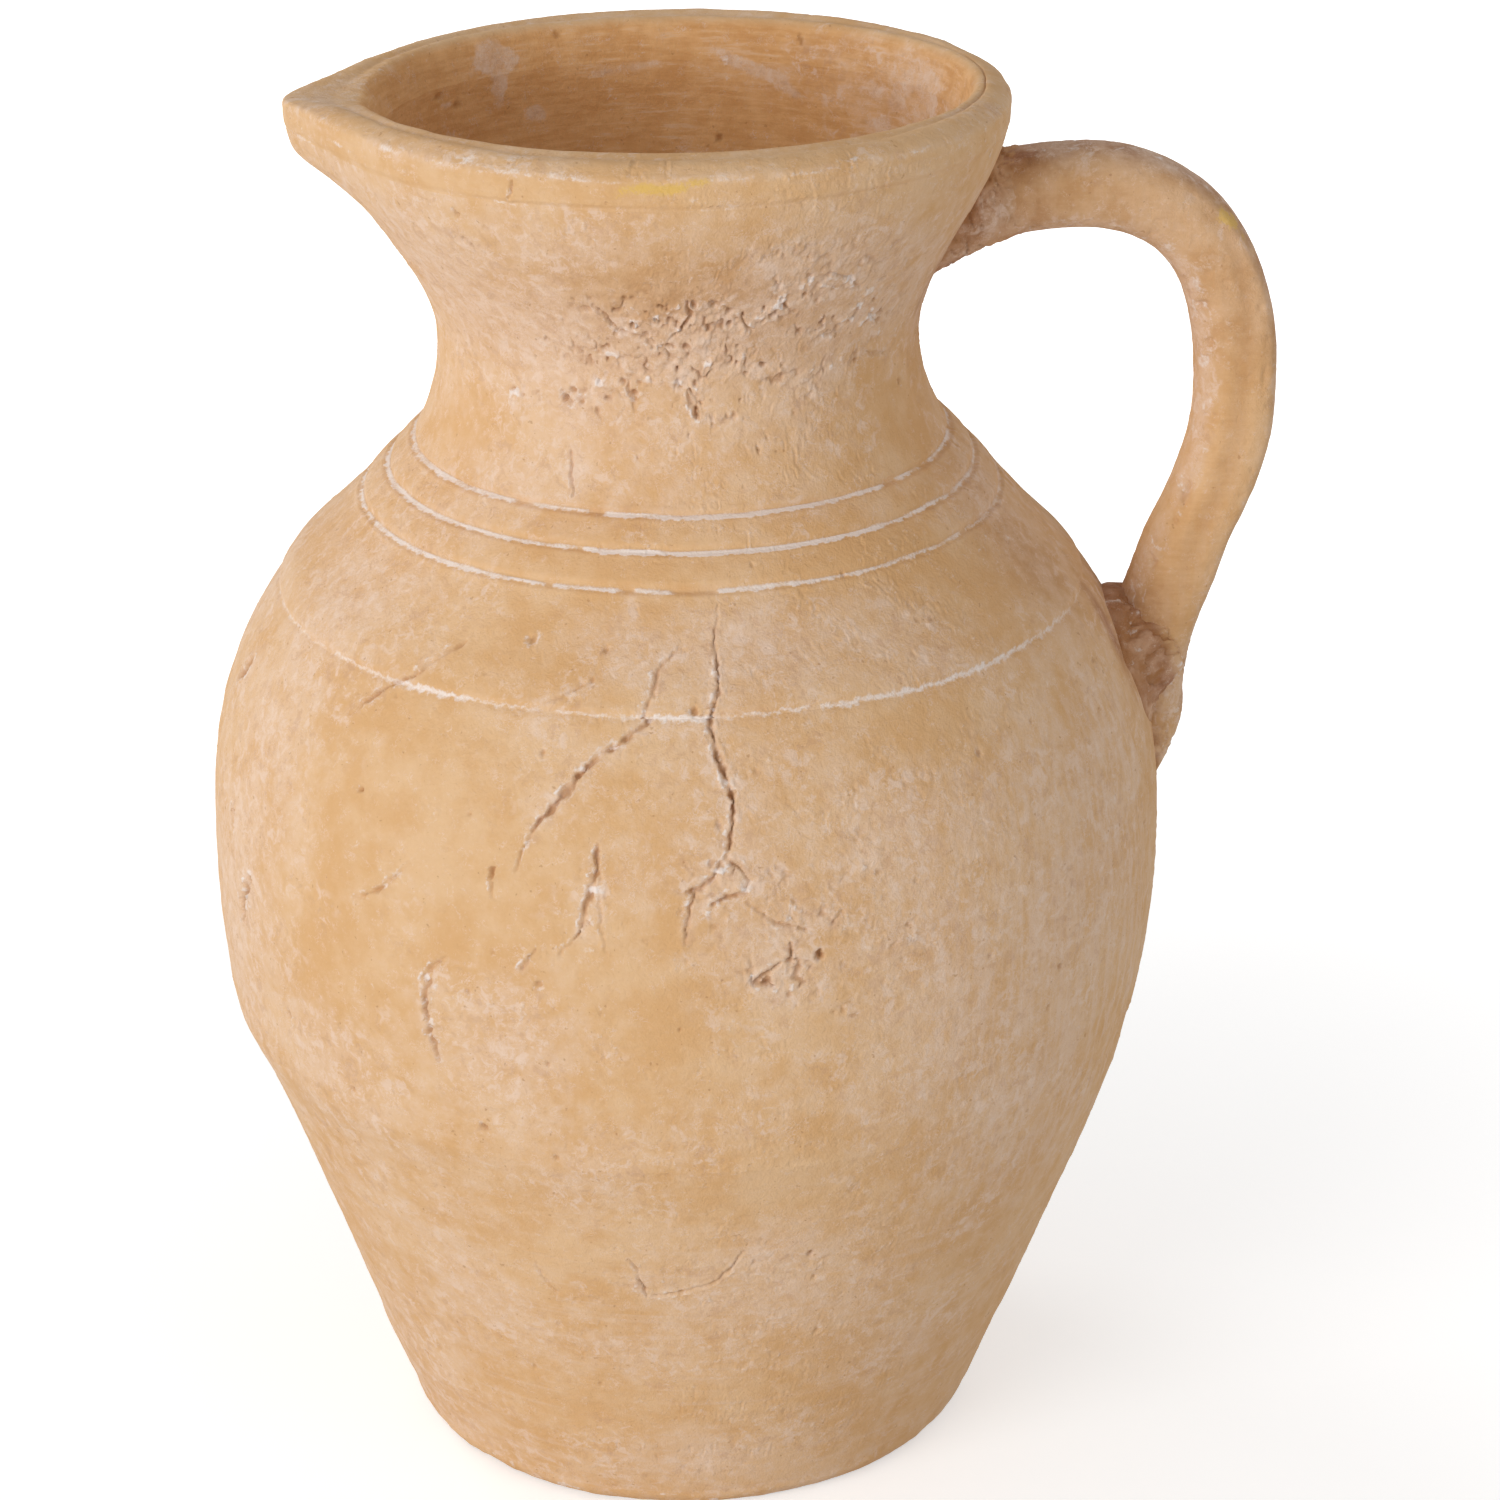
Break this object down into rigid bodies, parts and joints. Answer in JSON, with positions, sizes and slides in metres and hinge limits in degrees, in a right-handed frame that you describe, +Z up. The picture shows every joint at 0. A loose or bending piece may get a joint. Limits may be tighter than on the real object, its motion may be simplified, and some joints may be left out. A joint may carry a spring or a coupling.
{
  "type": "terracotta jug",
  "caption": "Hand-built terracotta jug with a full belly, incised shoulder, trumpet neck, pulled pouring spout and a loop handle.",
  "frame": {"origin": "centre of the flat foot, on the turning axis of the pot", "axes": "+Z up, from the foot to the mouth; the handle is on the +X side and the spout on the -X side; Y is across, from side to side"},
  "size_m": [0.2272, 0.2046, 0.3],
  "materials": {
    "terracotta": "matte, unglazed low-fired earthenware with a pale lime bloom, brushed streaks and hairline cracks",
    "pressed_clay": "matte, rough unglazed clay, redder than the body"
  },
  "bodies": {
    "root": {"base_disc": "terracotta", "lower_wall": "terracotta", "belly_wall": "terracotta", "shoulder": "terracotta", "neck": "terracotta", "rim_lip": "terracotta", "handle": "terracotta", "upper_luting": "pressed_clay", "lower_luting": "pressed_clay"}
  },
  "joints": []
}
